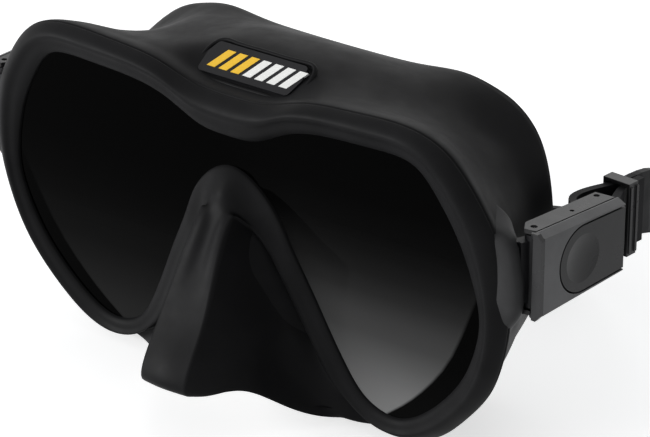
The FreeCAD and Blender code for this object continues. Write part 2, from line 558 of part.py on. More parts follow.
def badge_pieces():
    """A raised plate on the brow with plain slanted stripes let into it."""
    half_l, half_h, slant = BADGE_LENGTH / 2, BADGE_HEIGHT / 2, 1.6
    outline = [(-half_l, -half_h), (half_l - slant, -half_h), (half_l, 0.6), (half_l - 0.6, half_h),
               (-half_l + slant, half_h), (-half_l, 1.2)]
    plate = prism(outline, 0, BADGE_THICKNESS)
    plate = plate.makeFillet(1.3, [e for e in plate.Edges if abs(e.Vertexes[0].Z - e.Vertexes[-1].Z) > 1])
    yellow, white = [], []
    bar, pitch, lean_x, first = 2.6, 3.9, 1.7, -11.6
    for i in range(7):
        x = first + i * pitch
        corners = [(x - lean_x, -2.9), (x + bar - lean_x, -2.9), (x + bar + lean_x, 2.9), (x + lean_x, 2.9)]
        stripe = prism(corners, BADGE_THICKNESS - STRIPE_DEPTH, BADGE_THICKNESS + 0.1)
        (yellow if i < 3 else white).append(stripe)
    stripes = Part.makeCompound(yellow + white)
    pieces = [plate.cut(stripes), Part.makeCompound(yellow), Part.makeCompound(white)]
    for piece in pieces:
        piece.rotate(Vector(0, 0, 0), Vector(1, 0, 0), BADGE_SLOPE)
        piece.translate(BADGE_PLACE)
    return pieces


BADGE_PLACE = Vector(0, 9.3 * SKIRT_DEPTH / RING_DEPTH, 24.2 * MASK_HEIGHT / RING_HEIGHT)


def build():
    parts = {}
    lens = make_lens()
    anchor = make_anchor()
    skirt = make_skirt()
    for side in (1, -1):
        block = lug_block()
        skirt = skirt.fuse(block if side > 0 else mirrored(block))
    for side in (1, -1):
        skirt = skirt.cut(to_mask(anchor, side))
    skirt = max(skirt.Solids, key=lambda solid: solid.Volume)
    bottom = skirt.optimalBoundingBox(True, False).ZMin
    badge, yellow, white = badge_pieces()
    parts["skirt"], parts["lens"] = skirt.cut(badge.fuse([yellow, white])), lens
    parts["brow_badge"], parts["badge_stripes_yellow"], parts["badge_stripes_white"] = badge, yellow, white
    parts["head_strap"] = head_strap(bottom)
    hinge_pin, axle, pawl_pin = make_pins()
    pieces = {"lug_anchor": anchor, "hinge_pin": hinge_pin, "buckle_shell": make_shell(),
              "buckle_cover": make_cover(), "release_button": make_button(),
              "button_springs": make_springs(), "pawl": make_pawl(), "pawl_pin": pawl_pin,
              "strap_roller": make_roller(), "roller_axle": axle}
    for side, suffix, slope in ((1, "_right", RIGHT_SLOPE), (-1, "_left", LEFT_SLOPE)):
        strap = {"strap_end": make_strap_end(slope), "strap_keeper": make_keeper(slope)}
        for name, piece in {**pieces, **strap}.items():
            parts[name + suffix] = to_mask(piece, side)
    return parts


def main():
    os.makedirs("parts", exist_ok=True)
    parts = build()
    bounds = FreeCAD.BoundBox()
    for shape in parts.values():
        bounds.add(shape.optimalBoundingBox(True, False))
    origin = Vector(0, (bounds.YMin + bounds.YMax) / 2, bounds.ZMin)
    print("modelling origin in the part's frame", -origin)
    for name, shape in parts.items():
        shape.translate(-origin)
        shape.exportStep("parts/" + name + ".step")
        print(name, "valid", shape.isValid(), "solids", len(shape.Solids), "volume", round(shape.Volume, 1))


main()
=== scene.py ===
import json
import math

import bmesh
import bpy
import numpy as np
from mathutils import Matrix, Vector


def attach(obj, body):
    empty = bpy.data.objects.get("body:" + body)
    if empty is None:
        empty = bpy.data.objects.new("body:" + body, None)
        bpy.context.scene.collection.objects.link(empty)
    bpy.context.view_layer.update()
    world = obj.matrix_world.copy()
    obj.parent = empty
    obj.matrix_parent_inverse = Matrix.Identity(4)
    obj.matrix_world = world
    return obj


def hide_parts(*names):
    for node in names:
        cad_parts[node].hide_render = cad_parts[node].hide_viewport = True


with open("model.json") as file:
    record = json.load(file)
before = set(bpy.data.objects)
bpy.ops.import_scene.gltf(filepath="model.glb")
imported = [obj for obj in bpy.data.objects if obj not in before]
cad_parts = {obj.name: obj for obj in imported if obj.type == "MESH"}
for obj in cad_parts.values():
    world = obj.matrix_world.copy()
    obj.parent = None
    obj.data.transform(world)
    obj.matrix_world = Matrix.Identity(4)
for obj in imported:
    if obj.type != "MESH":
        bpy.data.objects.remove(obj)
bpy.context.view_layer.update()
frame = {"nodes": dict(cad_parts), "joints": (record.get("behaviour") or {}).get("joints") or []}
MM = 0.001

# Shapes are written in millimetres in the mask's design frame: its origin is on the glass's front face on
# the centre plane, +X to the side, +Y back to the face, +Z up.  The hinge of the right-hand buckle ties
# that frame to the row frame.  Lamps, the floor and the modifiers' widths are in metres.
HINGE = Vector((87.0, 8.6, -5.3))
LENS_LEAN = math.radians(6.43)
hinge_joint = next(j for j in frame["joints"] if j["name"] == "buckle_hinge_right")
ORIGIN = Vector(hinge_joint["pos_m"]) - HINGE * MM


def at(point):
    """A design-frame point in millimetres, in the row frame in metres."""
    return ORIGIN + Vector(point) * MM


def lean(x, y, z):
    """Turns a point from the upright glass frame to the leaning one."""
    c, s = math.cos(LENS_LEAN), math.sin(LENS_LEAN)
    return (x, y * c - z * s, y * s + z * c)


# ---------------------------------------------------------------- camera, light, stage
CAMERA_PLACE = (492.163, -589.705, 340.351)
CAMERA_RIGHT = (0.78693, 0.61704, 0.0)
CAMERA_UP = (-0.25827, 0.32938, 0.90819)
CAMERA_BACK = (0.56039, -0.71468, 0.41857)
FOCAL_LENGTH, SENSOR_WIDTH = 182.77, 36.0


def make_camera():
    """A long lens in front of the mask, above it and to its right."""
    data = bpy.data.cameras.new("camera")
    data.sensor_width = SENSOR_WIDTH
    data.lens = FOCAL_LENGTH
    data.clip_start, data.clip_end = 0.01, 20.0
    camera = bpy.data.objects.new("camera", data)
    turn = Matrix((CAMERA_RIGHT, CAMERA_UP, CAMERA_BACK)).transposed().to_4x4()
    camera.matrix_world = Matrix.Translation(at(CAMERA_PLACE)) @ turn
    bpy.context.scene.collection.objects.link(camera)
    bpy.context.scene.camera = camera


# Each lamp, in metres: where it stands, what it aims at, its width and height, and its watts.
LAMPS = {"key": ((-1.3, -1.6, 0.5), (0, -0.02, 0.05), (1.2, 0.8), 46),
         "back": ((0.0, 1.5, 1.15), (0, 0, 0.05), (2.4, 0.8), 6),
         "top": ((0.1, 0.1, 1.7), (0, 0, 0.05), (1.0, 0.9), 2)}


def area_light(name, place, target, size, power):
    data = bpy.data.lights.new(name, "AREA")
    data.shape = "RECTANGLE"
    data.size, data.size_y = size
    data.energy = power
    lamp = bpy.data.objects.new(name, data)
    lamp.location = Vector(place)
    aim = Vector(target) - Vector(place)
    lamp.rotation_euler = aim.to_track_quat("-Z", "Y").to_euler()
    bpy.context.scene.collection.objects.link(lamp)


def white_seen(tree):
    """1 for camera, glossy and transmission rays, and 0 for all others."""
    nodes, links = tree.nodes, tree.links
    path = nodes.new("ShaderNodeLightPath")
    total = path.outputs["Is Camera Ray"]
    for name in ("Is Glossy Ray", "Is Transmission Ray"):
        add = nodes.new("ShaderNodeMath")
        add.operation = "MAXIMUM"
        links.new(total, add.inputs[0])
        links.new(path.outputs[name], add.inputs[1])
        total = add.outputs[0]
    return total


SOFT_COLOUR, SOFT_STRENGTH = (0.86, 0.88, 0.9, 1), 0.32
WHITE = (1, 1, 1, 1)


def make_world():
    """A white surround as seen and reflected, which lights the mask only softly."""
    world = bpy.data.worlds.new("studio")
    bpy.context.scene.world = world
    world.use_nodes = True
    tree = world.node_tree
    tree.nodes.clear()
    out = tree.nodes.new("ShaderNodeOutputWorld")
    soft = tree.nodes.new("ShaderNodeBackground")
    soft.inputs["Color"].default_value = SOFT_COLOUR
    soft.inputs["Strength"].default_value = SOFT_STRENGTH
    plain = tree.nodes.new("ShaderNodeBackground")
    plain.inputs["Color"].default_value = WHITE
    plain.inputs["Strength"].default_value = 1.0
    mix = tree.nodes.new("ShaderNodeMixShader")
    tree.links.new(white_seen(tree), mix.inputs[0])
    tree.links.new(soft.outputs[0], mix.inputs[1])
    tree.links.new(plain.outputs[0], mix.inputs[2])
    tree.links.new(mix.outputs[0], out.inputs["Surface"])


FLOOR_HALF, FLOOR_DROP = 6.0, 0.0004        # metres
FLOOR_GREY, FLOOR_LIFT = 0.9, 0.6


def make_floor():
    """A pale floor that reads as white but still takes the object's shadow."""
    mesh = bpy.data.meshes.new("floor")
    corners = [(x * FLOOR_HALF, y * FLOOR_HALF, 0) for x, y in ((-1, -1), (1, -1), (1, 1), (-1, 1))]
    mesh.from_pydata(corners, [], [(0, 1, 2, 3)])
    floor = bpy.data.objects.new("floor", mesh)
    floor.location.z = -FLOOR_DROP
    bpy.context.scene.collection.objects.link(floor)
    material = bpy.data.materials.new("floor_pale")
    material.use_nodes = True
    bsdf = material.node_tree.nodes["Principled BSDF"]
    bsdf.inputs["Base Color"].default_value = (*grey(FLOOR_GREY), 1)
    bsdf.inputs["Roughness"].default_value = 0.8
    bsdf.inputs["Specular IOR Level"].default_value = 0.0
    bsdf.inputs["Emission Color"].default_value = WHITE
    tree = material.node_tree
    lift = maths(tree, "MULTIPLY", white_seen(tree), FLOOR_LIFT)
    tree.links.new(lift, bsdf.inputs["Emission Strength"])
    mesh.materials.append(material)


# ---------------------------------------------------------------- splines and meshes
def spline(points, knots, samples, periodic):
    """A cubic spline through points at knots, read at samples.  points is (n, ...).  knots is n long, or
    n + 1 long when periodic: the first point is then repeated at its end."""
    points = np.asarray(points, float)
    n = len(points)
    if periodic:
        points = np.concatenate([points, points[:1]])
        h = np.diff(knots)
        a = np.zeros((n, n))
        rhs = np.zeros((n,) + points.shape[1:])
        for i in range(n):
            before, after = h[i - 1], h[i]
            a[i, (i - 1) % n] += before
            a[i, i] += 2 * (before + after)
            a[i, (i + 1) % n] += after
            rhs[i] = 6 * ((points[i + 1] - points[i]) / after
                          - (points[i] - points[i - 1 if i else n - 1]) / before)
        bend = np.linalg.solve(a, rhs.reshape(n, -1)).reshape(rhs.shape)
        bend = np.concatenate([bend, bend[:1]])
    else:
        h = np.diff(knots)
        a = np.eye(n)
        rhs = np.zeros_like(points)
        for i in range(1, n - 1):
            a[i, i - 1], a[i, i], a[i, i + 1] = h[i - 1], 2 * (h[i - 1] + h[i]), h[i]
            rhs[i] = 6 * ((points[i + 1] - points[i]) / h[i] - (points[i] - points[i - 1]) / h[i - 1])
        bend = np.linalg.solve(a, rhs.reshape(n, -1)).reshape(rhs.shape)
    samples = np.asarray(samples, float)
    cell = np.clip(np.searchsorted(knots, samples, side="right") - 1, 0, len(h) - 1)
    shape = (-1,) + (1,) * (points.ndim - 1)
    width = h[cell].reshape(shape)
    t = (samples - np.asarray(knots)[cell]).reshape(shape)
    s = width - t
    return (bend[cell] * s ** 3 + bend[cell + 1] * t ** 3) / (6 * width) \
        + (points[cell] / width - bend[cell] * width / 6) * s \
        + (points[cell + 1] / width - bend[cell + 1] * width / 6) * t


def chord_knots(gaps):
    """Knots from 0 to 1, spaced by the square root of the gaps."""
    roots = np.sqrt(np.asarray(gaps))
    return np.concatenate([[0], np.cumsum(roots)]) / roots.sum()


def mesh_object(name, points, faces, material, body):
    """A smooth mesh in the row frame from design-frame points, riding on a body."""
    mesh = bpy.data.meshes.new(name)
    mesh.from_pydata([tuple(at(p)) for p in points], [], faces)
    mesh.update()
    mesh.polygons.foreach_set("use_smooth", [True] * len(mesh.polygons))
    mesh.materials.append(material)
    obj = bpy.data.objects.new(name, mesh)
    bpy.context.scene.collection.objects.link(obj)
    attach(obj, body)
    return obj


def grid_faces(rows, columns, wrap_rows=False, wrap_columns=True):
    """Quads over a grid of points numbered row by row."""
    faces = []
    for i in range(rows if wrap_rows else rows - 1):
        for j in range(columns if wrap_columns else columns - 1):
            k, l = (i + 1) % rows, (j + 1) % columns
            faces.append((i * columns + j, i * columns + l, k * columns + l, k * columns + j))
    return faces


def recalc_outward(obj):
    """Turns all faces of a mesh to look out."""
    bm = bmesh.new()
    bm.from_mesh(obj.data)
    bmesh.ops.recalc_face_normals(bm, faces=bm.faces)
    bm.to_mesh(obj.data)
    bm.free()


# ---------------------------------------------------------------- materials
def material_base(name, colour, roughness, specular=0.5):
    material = bpy.data.materials.new(name)
    material.use_nodes = True
    bsdf = material.node_tree.nodes["Principled BSDF"]
    bsdf.inputs["Base Color"].default_value = (*colour, 1)
    bsdf.inputs["Roughness"].default_value = roughness
    bsdf.inputs["Specular IOR Level"].default_value = specular
    return material, material.node_tree, bsdf


def node(tree, kind, **values):
    made = tree.nodes.new(kind)
    for key, value in values.items():
        if hasattr(made, key):
            setattr(made, key, value)
        else:
            made.inputs[key.replace("_", " ")].default_value = value
    return made


def ramp(tree, source, stops):
    """A colour ramp over a source from (place, colour) stops."""
    made = tree.nodes.new("ShaderNodeValToRGB")
    for element, (place, colour) in zip(made.color_ramp.elements, (stops[0], stops[-1])):
        element.position, element.color = place, (*colour, 1)
    for place, colour in stops[1:-1]:
        made.color_ramp.elements.new(place).color = (*colour, 1)
    tree.links.new(source, made.inputs["Fac"])
    return made.outputs["Color"]


def grey(value):
    return (value, value, value)


def noise(tree, scale, detail=3.0, roughness=0.5):
    coordinates = node(tree, "ShaderNodeTexCoord")
    made = node(tree, "ShaderNodeTexNoise", Scale=scale, Detail=detail, Roughness=roughness)
    tree.links.new(coordinates.outputs["Object"], made.inputs["Vector"])
    return made.outputs["Fac"]


def add_bump(tree, bsdf, height, strength, distance):
    bump = node(tree, "ShaderNodeBump", Strength=strength, Distance=distance)
    tree.links.new(height, bump.inputs["Height"])
    tree.links.new(bump.outputs["Normal"], bsdf.inputs["Normal"])
    return bump


def grained(name, colour, roughness, spread, grain, depth, specular=0.5, mottle=0.25):
    """A moulded rubber or plastic: a fine grain, faint cloudy colour and uneven gloss."""
    material, tree, bsdf = material_base(name, colour, roughness, specular)
    cloud = noise(tree, 38.0, 5.0, 0.6)
    low, high = [tuple(c * (1 + k * mottle) for c in colour) for k in (-1, 1)]
    tree.links.new(ramp(tree, cloud, [(0.35, low), (0.65, high)]), bsdf.inputs["Base Color"])
    patch = noise(tree, 140.0, 4.0, 0.6)
    tree.links.new(ramp(tree, patch, [(0.3, grey(roughness - spread)), (0.7, grey(roughness + spread))]),
                   bsdf.inputs["Roughness"])
    add_bump(tree, bsdf, noise(tree, grain, 2.0, 0.5), 0.35, depth)
    return material


def make_materials():
    m = {}
    m["silicone"] = grained("silicone_black", (0.0088, 0.0088, 0.0093), 0.5, 0.05, 2600.0, 0.00004, 0.05)
    # Painted light: the same silicone as the skirt, painted lighter so that the lug's face reads as lit.
    m["lug"] = grained("silicone_lug", (0.04, 0.04, 0.041), 0.5, 0.05, 2600.0, 0.00004, 0.05)
    m["strap"] = grained("strap_rubber", (0.010, 0.010, 0.011), 0.5, 0.06, 1900.0, 0.00006, 0.06)
    m["buckle"] = grained("buckle_plastic", (0.022, 0.022, 0.023), 0.3, 0.04, 3400.0, 0.00003, 0.2)
    # Painted highlight: the buckle's plastic painted lighter on the cover, for the light caught along its
    # edges.
    m["cover"] = grained("cover_plastic", (0.075, 0.075, 0.078), 0.32, 0.04, 3400.0, 0.00003, 0.25)
    m["button"] = grained("button_plastic", (0.010, 0.010, 0.011), 0.3, 0.04, 3400.0, 0.00003, 0.2)
    m["inner"] = grained("inner_plastic", (0.02, 0.02, 0.021), 0.45, 0.05, 3400.0, 0.00003, 0.3)
    m["badge"] = grained("badge_rubber", (0.006, 0.006, 0.007), 0.5, 0.05, 2600.0, 0.00004, 0.2)
    m["yellow"] = grained("yellow_rubber", (0.83, 0.5, 0.035), 0.45, 0.05, 2600.0, 0.00003, 0.4, 0.06)
    m["white"] = grained("white_rubber", (0.82, 0.82, 0.8), 0.45, 0.05, 2600.0, 0.00003, 0.4, 0.04)
    steel, tree, bsdf = material_base("steel", (0.62, 0.61, 0.6), 0.28)
    bsdf.inputs["Metallic"].default_value = 1.0
    tree.links.new(ramp(tree, noise(tree, 900.0), [(0.3, grey(0.22)), (0.7, grey(0.38))]),
                   bsdf.inputs["Roughness"])
    m["steel"] = steel
    m["glass"] = tinted_glass()
    return m


def maths(tree, kind, a, b=None, clamp=False):
    """A math node fed by sockets or plain numbers."""
    made = tree.nodes.new("ShaderNodeMath")
    made.operation = kind
    made.use_clamp = clamp
    for slot, value in zip(made.inputs, (a, b)):
        if value is None:
            continue
        if isinstance(value, (int, float)):
            slot.default_value = value
        else:
            tree.links.new(value, slot)
    return made.outputs[0]


# Painted light on the glass: its grey by height, standing in for the lit inside and reflections seen in it,
# and how far out the painted shadow band at its edges starts at each height.  Both were measured on the
# photograph.
LENS_PAINTED_GREY = [(-60, 0.23), (-53.8, 0.19), (-47.6, 0.135), (-41.4, 0.088), (-35.3, 0.053), (-29.3, 0.04),
        (-23.2, 0.02), (-17.3, 0.01), (-11.3, 0.005), (-5.5, 0.002), (4, 0.0006), (20, 0.0003)]
SHADOW_BAND_START = [(-59, 43), (-57.2, 45.2), (-53.9, 49.3), (-50.9, 52.6), (-47.4, 56), (-43.5, 59.4), (-39.1, 62.8),
          (-33.5, 66.3), (-26.5, 69.7), (-18.2, 73.3), (-11.9, 76), (0, 82)]
SHADOW_BAND_GREY, SHADOW_BAND_SOFT, SHADOW_BAND_SCALE = 0.012, 1.0, 100.0
FAR_SIDE_SHADE_GREY, FAR_SIDE_SHADE_EDGE, FAR_SIDE_SHADE_FADE = 0.09, -6.0, 26.0     # painted shade: the left glass is painted darker, for the dark inside seen through it
GLASS_IOR, GLASS_TRANSMISSION = 1.06, 0.12


def by_height(tree, z, table, scale=1.0):
    """Reads a table of (height, value) at a height socket, through a colour ramp."""
    low, high = table[0][0], table[-1][0]
    place = maths(tree, "DIVIDE", maths(tree, "SUBTRACT", z, low), high - low, True)
    stops = [((h - low) / (high - low), grey(v / scale)) for h, v in table]
    return maths(tree, "MULTIPLY", ramp(tree, place, stops), scale)


def tinted_glass():
    """Glass with painted light and shade: black at the brow, painted grey towards the cheeks for the lit
    inside and reflections seen in it, inside a painted shadow band at its edges, and painted darker on the
    left.
    """
    material, tree, bsdf = material_base("tinted_glass", (0.1, 0.1, 0.1), 0.0, 0.5)
    bsdf.inputs["Transmission Weight"].default_value = GLASS_TRANSMISSION
    bsdf.inputs["IOR"].default_value = GLASS_IOR
    coordinates = node(tree, "ShaderNodeTexCoord")
    parts = node(tree, "ShaderNodeSeparateXYZ")
    tree.links.new(coordinates.outputs["Object"], parts.inputs[0])
    x = maths(tree, "MULTIPLY", parts.outputs["X"], 1 / MM)
    z = maths(tree, "MULTIPLY", maths(tree, "SUBTRACT", parts.outputs["Z"], ORIGIN.z), 1 / MM)
    # painted light and shade: grey by height for the lit inside and reflections seen through the glass
    painted_grey_by_height = by_height(tree, z, LENS_PAINTED_GREY)
    # painted shadow: a dark band beyond this distance out at each height
    edge = by_height(tree, z, SHADOW_BAND_START, SHADOW_BAND_SCALE)
    past = maths(tree, "SUBTRACT", maths(tree, "ABSOLUTE", x), edge)
    inside = maths(tree, "SUBTRACT", 1.0, maths(tree, "DIVIDE", past, SHADOW_BAND_SOFT, True))
    inside = maths(tree, "ADD", inside, SHADOW_BAND_GREY)
    # painted shade: the left glass darkened for the dark inside seen through it
    near = maths(tree, "DIVIDE", maths(tree, "SUBTRACT", x, FAR_SIDE_SHADE_EDGE), FAR_SIDE_SHADE_FADE, True)
    side = maths(tree, "MULTIPLY_ADD", near, 1.0 - FAR_SIDE_SHADE_GREY)
    side.node.inputs[2].default_value = FAR_SIDE_SHADE_GREY
    painted_lens_shading = maths(tree, "MULTIPLY", maths(tree, "MULTIPLY", painted_grey_by_height, inside), side)
    tree.links.new(painted_lens_shading, bsdf.inputs["Base Color"])
    return material


# ---------------------------------------------------------------- skirt
# Rings of the skirt, right half, from the top centre round to the bottom centre.  The opening, the crest and
# the parting line are (x, z) along the glass, and over the nose they go on as free points.
OPENING = [(0, 10.1), (9.6, 11.1), (20, 16), (32, 18.7), (44, 19.4), (54, 19.6), (60.5, 17.5), (66.2, 10.5),
           (71.3, 1), (74.8, -9.8), (76.1, -20), (74, -30), (69.5, -39.8), (62.5, -48.8), (54.5, -55.8),
           (47, -58.6), (39.3, -56.3), (33.4, -49.3), (27.8, -38.4), (22.7, -27.5), (17.3, -16.5),
           (11.7, -6), (0, 1.3)]
CREST = [(0, 17), (11, 18.3), (20.5, 22), (33, 24.1), (46, 24.7), (56.5, 24.7), (64.8, 21.3), (71.8, 13.6),
         (76.9, 3.1), (79.3, -9.5), (79.3, -20.5), (77.3, -31.5), (73, -41.7), (66, -51), (57, -58.8),
         (48.3, -62.2), (39, -60.5), (30, -52.5), (24.4, -43), (19.3, -32.2), (14.2, -22), (9.5, -13.5)]
PARTING = [(0, 20.6), (12, 21.6), (24, 25.2), (37, 26.8), (50, 27.6), (60, 26.8), (68.5, 22.8), (76.3, 13.3),
           (81.7, 2.5), (84, -9.5), (83.7, -21), (81, -32.5), (76.6, -42.8), (69.2, -52.5), (60, -61),
           (50, -64), (39.5, -61.5)]
CREST_NOSE = [(0, -5.2, -4)]
PARTING_NOSE = [(29, 4.8, -53.8), (19.8, 6, -42.8), (13.4, 4.6, -30.4), (8, 1.6, -17.3), (5.2, -6.4, -9),
                (0, -6.9, -8.9)]
CREST_Y, PARTING_Y = -2.6, 1.5
# The other rings are (x, y, z), from the frame back to the edge that seals on the face.
RIDGE = [(0, 4.6, 21.5), (12, 4.6, 22.0), (24, 4.5, 25), (36.5, 4.5, 25.8), (49, 4.5, 26.2),
         (58.5, 4.5, 25.4), (66.6, 5, 21.4), (74, 5.5, 12.4), (79.4, 6, 2), (81.7, 7, -9.5), (81.5, 8, -20.5),
         (78.9, 8.5, -32), (74.7, 9.5, -42), (67.5, 10, -51.3), (59, 10, -59), (49.5, 10, -62),
         (39, 8.5, -63.8), (29.5, 2.5, -60), (18.5, -1, -50), (13.8, -7, -43.5), (10.2, -12.5, -37.5),
         (7, -20.5, -33), (0, -20.9, -33)]
VALLEY = [(0, 12.8, 27.3), (12, 12.7, 27), (24, 13, 25.6), (36, 13.5, 24), (47.5, 14, 22.4),
          (56.5, 14.5, 20.2), (63.5, 15, 16), (69.8, 15.5, 9), (74.6, 16.5, 0), (77, 17.5, -10),
          (77, 18.5, -20), (75, 19.5, -31), (70.5, 20.5, -41.2), (64, 21, -50.5), (56, 20.5, -58),
          (48, 19, -61.3), (37.5, 16, -64.6), (29.5, 2, -62.2), (21.6, -7, -57.6), (15.5, -15, -52.2),
          (10.7, -22, -51.8), (7.3, -28.6, -50.3), (0, -29.8, -49.8)]
BODY = [(0, 29, 27), (13, 29, 26.6), (26, 29.5, 24.8), (38, 30, 22.8), (48, 30.5, 18.3), (55.5, 31, 13.9),
        (62, 31.5, 9.8), (66.8, 32, 3), (70, 32.5, -5), (71.4, 33, -13), (70.9, 33.5, -21.5),
        (68.5, 33.5, -32), (64.8, 33, -42), (59, 32, -51.5), (52, 31, -58.5), (44.5, 29, -62.3),
        (36, 26, -63.6), (29, 9, -61.4), (22, 3, -57.2), (15, -2, -52.5), (10, -7, -52), (5.5, -10.5, -52.3),
        (0, -11, -52.5)]
REAR = [(0, 44.5, 21), (13, 44.7, 21), (26, 45.2, 21.3), (38, 46, 22.0), (47.6, 46.3, 20.4),
        (55.4, 46, 17.6), (62, 45.2, 12.6), (66.8, 43.8, 5), (69.1, 43, -4), (69.5, 43, -12.5),
        (68.3, 43.5, -21.5), (65, 44, -32.5), (60, 44, -43), (53.5, 43, -52), (46, 40.5, -59),
        (39, 36.5, -62.6), (32.5, 31, -62), (27, 22, -58), (22, 16, -53.5), (16.5, 12, -49.8),
        (11.5, 10, -48), (6, 9, -47.2), (0, 8.5, -47)]
SEAL = [(0, 46, 9), (11, 46, 9), (22, 46.5, 9), (33, 47, 8.6), (42, 47.3, 7.4), (49.5, 47.2, 4.6),
        (54.5, 47, 0.4), (57.3, 46.5, -4.5), (58.8, 46, -10), (59, 46, -16), (57.5, 46.5, -23.5),
        (54.5, 46.5, -32.5), (50, 46, -41), (44.5, 44, -48.2), (38.5, 41.5, -52.7), (33, 38, -54.7),
        (27.5, 33, -53.5), (23.5, 25, -50), (19.5, 20, -45.5), (15, 17, -42.5), (10.5, 15.5, -41),
        (6, 14.8, -40.4), (0, 14.4, -40)]
LENS_THICKNESS, LIP, SKIRT_WALL, LENS_SEAT = 4.0, 0.8, 2.4, 2.4
LIP_FLARE = 0.35                # how far the lips stand back from the opening's edge
SEAT_ROOM, SEAT_BACK = 0.6, 1.6
# The rings in order: edge, lip, crest, parting line, ridge, valley, body, rear, seal, then the inside.
PARTING_RING, RIDGE_RING, REAR_RING, SEAL_RING = 3, 4, 7, 8
AROUND = 10                     # fine columns per net cell
ACROSS = [5, 8, 10, 12, 12, 9, 9, 10, 8, 5, 5, 5, 6, 5, 3]   # fine rows per net cell, from the glass's edge
# How sharply the nose's front facet breaks at its edges, ring by ring from the glass's edge to the seal.
FACET = [0, 0, 0.25, 0.9, 1, 1, 0.6, 0, 0]
FACET_COLUMN, NOSE_COLUMN = 21, 22


def grown(outline, margin):
    """A half (x, z) outline moved outward; its end points stay on the centre plane."""
    moved = []
    for j, (x, z) in enumerate(outline):
        x0, z0 = outline[j - 1] if j else (-outline[1][0], outline[1][1])
        x1, z1 = outline[j + 1] if j + 1 < len(outline) else (-outline[j - 1][0], outline[j - 1][1])
        size = math.hypot(x1 - x0, z1 - z0)
        moved.append((x - (z1 - z0) / size * margin, z + (x1 - x0) / size * margin))
    return moved


def whole(half):
    """A closed ring from its right half."""
    half = [tuple(p) for p in half]
    return np.array(half + [(-x, y, z) for x, y, z in half[-2:0:-1]])


def along_glass(outline, y):
    return [lean(x, y, z) for x, z in outline]


def skirt_rings():
    """Rings from the glass's front edge, over the outside to the seal, and back inside to its rear edge."""
    edge, lip = along_glass(OPENING, 0), along_glass(grown(OPENING, LIP_FLARE), -LIP)
    crest = along_glass(CREST, CREST_Y) + CREST_NOSE
    parting = along_glass(PARTING, PARTING_Y) + PARTING_NOSE
    outer = np.array([whole(ring) for ring in (edge, lip, crest, parting, RIDGE, VALLEY, BODY, REAR, SEAL)])
    inner = []
    for k in range(REAR_RING, RIDGE_RING - 1, -1):
        around = np.roll(outer[k], -1, 0) - np.roll(outer[k], 1, 0)
        normal = np.cross(around, outer[k + 1] - outer[k - 1])
        inner.append(outer[k] - normal / np.linalg.norm(normal, axis=1, keepdims=True) * SKIRT_WALL)
    seat = whole(along_glass(grown(OPENING, LENS_SEAT + SEAT_ROOM), LENS_THICKNESS + SEAT_BACK))
    back = whole(along_glass(grown(OPENING, LIP_FLARE), LENS_THICKNESS + LIP))
    end = whole(along_glass(OPENING, LENS_THICKNESS))
    return np.concatenate([outer, inner, [seat, back, end]])


def facet_rows(rings, u, fine_u):
    """The rings read finely: a mix of a smooth run and one that breaks at the facet's two edges."""
    smooth = spline(rings.transpose(1, 0, 2), u, fine_u, True)
    left = len(rings[0]) - FACET_COLUMN
    broken = smooth.copy()
    arc = rings[:, FACET_COLUMN:left + 1].transpose(1, 0, 2)
    arc_knots = u[FACET_COLUMN:left + 1]
    inside = (fine_u >= arc_knots[0]) & (fine_u <= arc_knots[-1])
    broken[inside] = spline(arc, arc_knots, fine_u[inside], False)
    rest = np.concatenate([rings[:, left:], rings[:, :FACET_COLUMN + 1]], 1).transpose(1, 0, 2)
    rest_knots = np.concatenate([u[left:-1], u[:FACET_COLUMN + 1] + 1])
    wrapped = np.where(fine_u < arc_knots[0], fine_u + 1, fine_u)
    broken[~inside] = spline(rest, rest_knots, wrapped[~inside], False)
    inside_rings = FACET[REAR_RING:RIDGE_RING - 1:-1] + [0, 0, 0]
    weight = np.array(FACET + inside_rings, float).reshape(1, -1, 1)
    return smooth * (1 - weight) + broken * weight


PARTING_ROWS = np.array([-0.012, -0.008, -0.005, -0.0025, 0, 0.0025, 0.005, 0.008, 0.012])


def fine_places(v):
    """Where the rows lie across the rings, with extra rows beside the parting line."""
    rows = [np.linspace(v[i], v[i + 1], steps, endpoint=False) for i, steps in enumerate(ACROSS)]
    return np.unique(np.concatenate(rows + [[1.0], v[PARTING_RING] + PARTING_ROWS]))


# Where the surface folds across the rings: ring, first and last column from the brow down, and sharpness.
FOLDS = [(7, 0, 16, 0.85), (3, 18.3, 20.4, 1.0), (5, 17.5, 19.5, 0.5)]


def fold_weights(count, columns):
    """How sharply each ring folds at each fine column."""
    weights = np.zeros((count, columns))
    place = np.arange(columns) / AROUND
    place = np.minimum(place, columns / AROUND - place)
    for ring, first, last, sharp in FOLDS:
        rise = np.clip(np.minimum(place - first + 1.0, last + 1.0 - place), 0, 1)
        weights[ring] = np.maximum(weights[ring], sharp * rise * rise * (3 - 2 * rise))
    return weights


LEAST_GAP = 0.05


